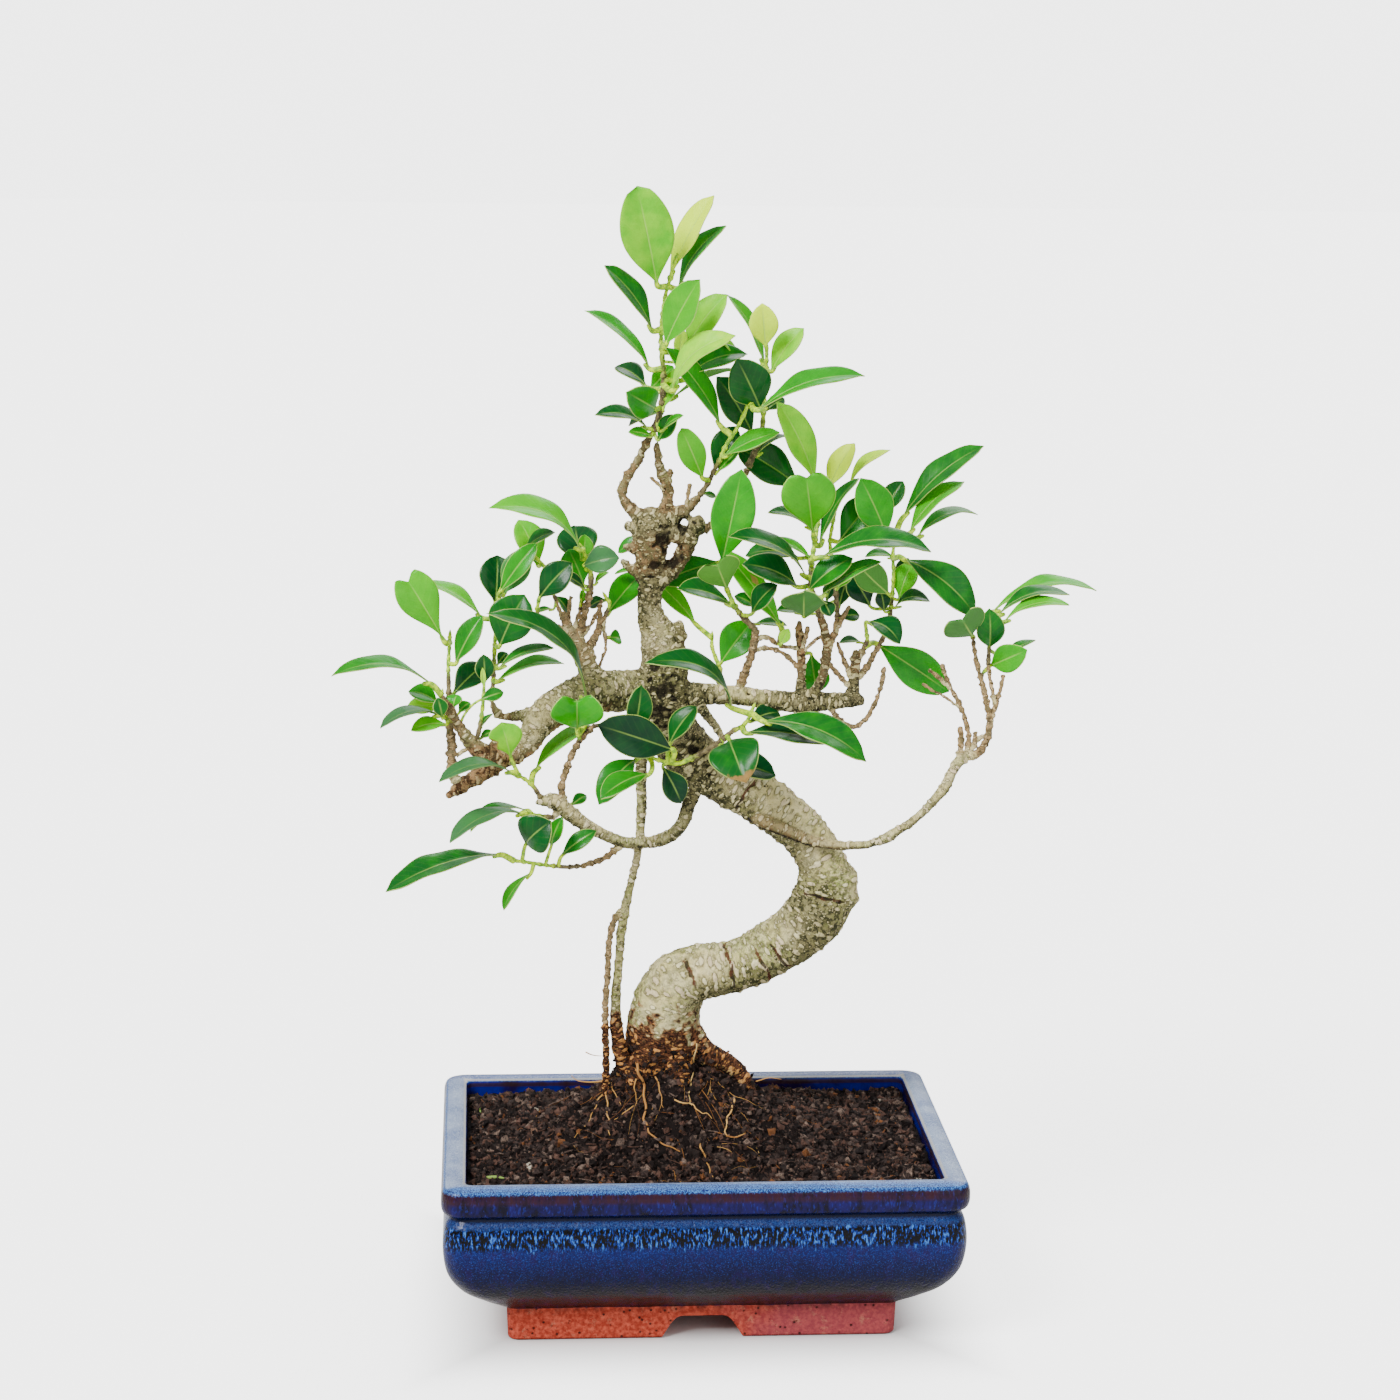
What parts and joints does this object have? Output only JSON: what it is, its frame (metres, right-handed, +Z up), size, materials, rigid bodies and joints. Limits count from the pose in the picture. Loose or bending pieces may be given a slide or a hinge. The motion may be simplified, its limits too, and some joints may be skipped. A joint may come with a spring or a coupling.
{
  "type": "potted bonsai tree",
  "caption": "Small fig tree with an S-shaped trunk, air roots and leafy shoots, growing in earth in a rectangular glazed pot that stands on corner feet.",
  "frame": {"origin": "on the surface the pot stands on, under the middle of the whole outline", "axes": "+Z up, +X to the right and +Y to the back, seen from the front of the pot's long side"},
  "size_m": [0.37, 0.178, 0.5459],
  "materials": {
    "glaze": "glossy streaked glaze",
    "earth": "crumbly bark and earth mix",
    "bark": "matt bark with corky spots",
    "leaf": "glossy leathery leaf"
  },
  "bodies": {
    "root": {"pot": "glaze", "soil": "earth", "trunk_limbs_and_roots": "bark", "apex_shoot": "leaf", "upper_right_shoot": "leaf", "upper_middle_shoot": "leaf", "front_middle_shoot": "leaf", "right_inner_shoot": "leaf", "back_middle_shoot": "leaf", "right_front_shoot": "leaf", "right_mid_shoot": "leaf", "right_back_shoot": "leaf", "right_low_shoot": "leaf", "right_behind_leaf": "leaf", "far_right_tip_leaf": "leaf", "far_right_shoot": "leaf", "far_right_side_leaf": "leaf", "front_low_shoot": "leaf", "front_left_shoot": "leaf", "left_top_shoot": "leaf", "left_inner_shoot": "leaf", "left_front_shoot": "leaf", "left_short_leaf": "leaf", "left_back_shoot": "leaf", "left_small_leaf": "leaf", "back_upper_leaves": "leaf", "left_middle_shoot": "leaf", "left_low_shoot": "leaf", "left_tall_shoot": "leaf", "far_left_shoot": "leaf", "left_under_shoot": "leaf", "left_riser_bud": "leaf", "left_arching_shoot": "leaf", "lower_left_shoot": "leaf", "lower_left_upper_shoot": "leaf", "lower_left_small_leaf": "leaf"}
  },
  "joints": []
}
